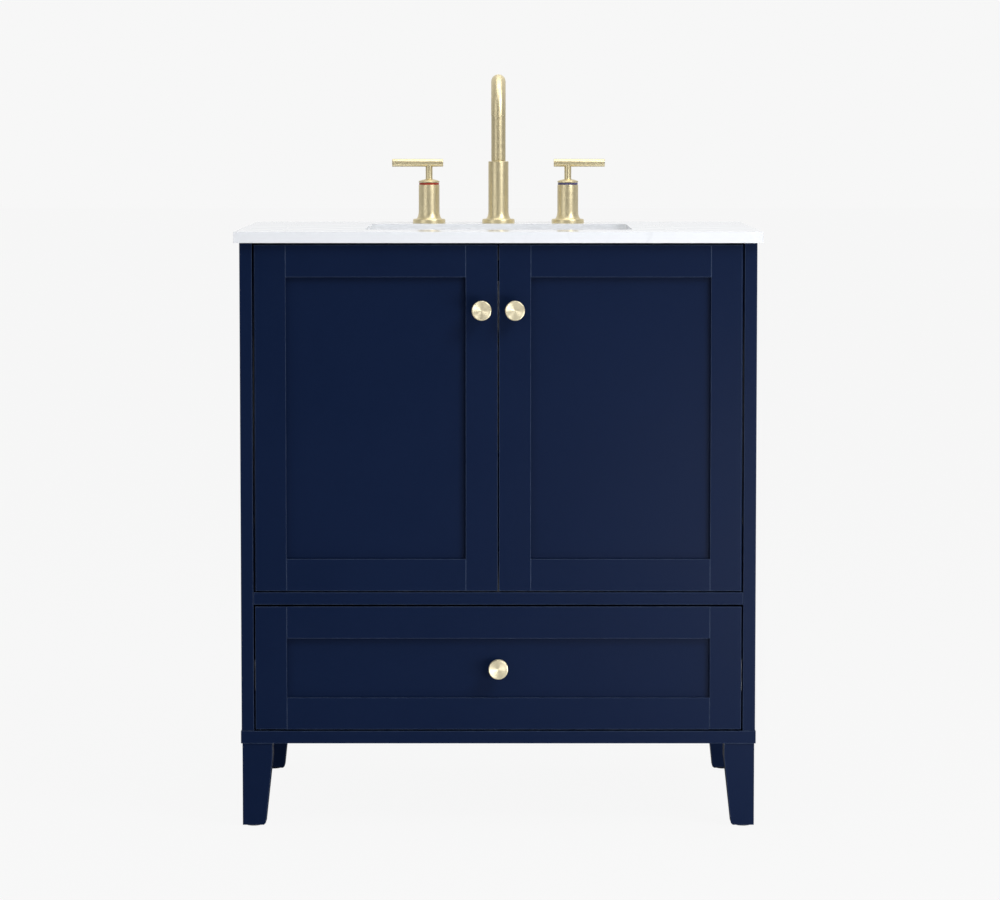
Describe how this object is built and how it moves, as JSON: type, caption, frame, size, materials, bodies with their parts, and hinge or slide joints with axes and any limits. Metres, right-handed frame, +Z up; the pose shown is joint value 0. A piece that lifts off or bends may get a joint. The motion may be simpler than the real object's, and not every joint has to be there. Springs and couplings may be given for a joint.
{
  "type": "bathroom vanity cabinet",
  "caption": "Free-standing bathroom vanity on tapered legs, with inset framed doors over a framed drawer, a stone top with undermount bowl, and a three-hole tap.",
  "frame": {"origin": "middle of the floor under the whole object, midway between the knobs' faces and the back", "axes": "+Z up; the doors and drawer face -Y; +X to the right as seen from the front"},
  "size_m": [0.755, 0.574, 1.086],
  "materials": {
    "navy_paint": "satin navy lacquer",
    "white_quartz": "polished",
    "white_glaze": "glossy",
    "brushed_gold": "brushed",
    "plain_brass": "machined",
    "nickel_steel": "nickel plated",
    "zinc_steel": "zinc plated",
    "birch_plywood": "clear lacquer",
    "grey_plastic": "matt",
    "red_ring": "gloss",
    "blue_ring": "gloss"
  },
  "bodies": {
    "cabinet": {"left_side_panel": "navy_paint", "right_side_panel": "navy_paint", "base_board": "navy_paint", "mid_shelf": "navy_paint", "back_panel": "navy_paint", "front_rail": "navy_paint", "back_rail": "navy_paint", "corner_blocks": "birch_plywood", "door_stop": "grey_plastic", "front_left_leg": "navy_paint", "front_right_leg": "navy_paint", "back_left_leg": "navy_paint", "back_right_leg": "navy_paint", "leg_glides": "grey_plastic", "leg_screws": "zinc_steel", "worktop": "white_quartz", "sink_basin": "white_glaze", "sink_clips": "zinc_steel", "drain_body": "brushed_gold", "drain_nut": "plain_brass", "drain_tailpiece": "plain_brass", "hinge_plates": "nickel_steel", "hinge_arms": "nickel_steel", "slide_cabinet_members": "zinc_steel", "spout_base": "brushed_gold", "hot_valve_body": "brushed_gold", "cold_valve_body": "brushed_gold", "hot_index_ring": "red_ring", "cold_index_ring": "blue_ring", "tap_mounting_nuts": "plain_brass"},
    "left_door": {"left_door_hinge_stile": "navy_paint", "left_door_latch_stile": "navy_paint", "left_door_rails": "navy_paint", "left_door_panel": "navy_paint", "left_door_knob": "brushed_gold", "left_door_knob_screw": "zinc_steel", "left_door_hinge_cups": "nickel_steel"},
    "right_door": {"right_door_hinge_stile": "navy_paint", "right_door_latch_stile": "navy_paint", "right_door_rails": "navy_paint", "right_door_panel": "navy_paint", "right_door_knob": "brushed_gold", "right_door_knob_screw": "zinc_steel", "right_door_hinge_cups": "nickel_steel"},
    "drawer": {"drawer_front_stiles": "navy_paint", "drawer_front_rails": "navy_paint", "drawer_front_panel": "navy_paint", "drawer_knob": "brushed_gold", "drawer_knob_screw": "zinc_steel", "drawer_box_front": "birch_plywood", "drawer_box_back": "birch_plywood", "drawer_box_sides": "birch_plywood", "drawer_box_bottom": "birch_plywood", "slide_drawer_members": "zinc_steel"},
    "slide_middles": {"slide_middle_members": "zinc_steel"},
    "hot_handle": {"hot_lever": "brushed_gold"},
    "cold_handle": {"cold_lever": "brushed_gold"},
    "spout_arm": {"spout": "brushed_gold", "aerator": "zinc_steel"},
    "stopper": {"drain_stopper": "brushed_gold"}
  },
  "joints": [
    {"name": "left_door_swing", "type": "hinge", "parent": "cabinet", "child": "left_door", "pos_m": [-0.3257, -0.248, 0.5905], "axis": [0, 0, -1], "range_deg": [0, 100]},
    {"name": "right_door_swing", "type": "hinge", "parent": "cabinet", "child": "right_door", "pos_m": [0.3257, -0.248, 0.5905], "axis": [0, 0, 1], "range_deg": [0, 100]},
    {"name": "drawer_slide", "type": "slide", "parent": "cabinet", "child": "drawer", "axis": [0, -1, 0], "range_m": [0, 0.43]},
    {"name": "slide_middle_run", "type": "slide", "parent": "cabinet", "child": "slide_middles", "axis": [0, -1, 0], "range_m": [0, 0.215]},
    {"name": "hot_handle_turn", "type": "hinge", "parent": "cabinet", "child": "hot_handle", "pos_m": [-0.107, 0.218, 0.907], "axis": [0, 0, 1], "range_deg": [0, 90]},
    {"name": "cold_handle_turn", "type": "hinge", "parent": "cabinet", "child": "cold_handle", "pos_m": [0.107, 0.218, 0.907], "axis": [0, 0, -1], "range_deg": [0, 90]},
    {"name": "spout_swivel", "type": "hinge", "parent": "cabinet", "child": "spout_arm", "pos_m": [0, 0.218, 0.957], "axis": [0, 0, 1], "range_deg": [-60, 60]},
    {"name": "stopper_lift", "type": "slide", "parent": "cabinet", "child": "stopper", "axis": [0, 0, 1], "range_m": [0, 0.008]}
  ],
  "couplings": [
    {"joint": "slide_middle_run", "follows": "drawer_slide", "ratio": 0.5}
  ]
}
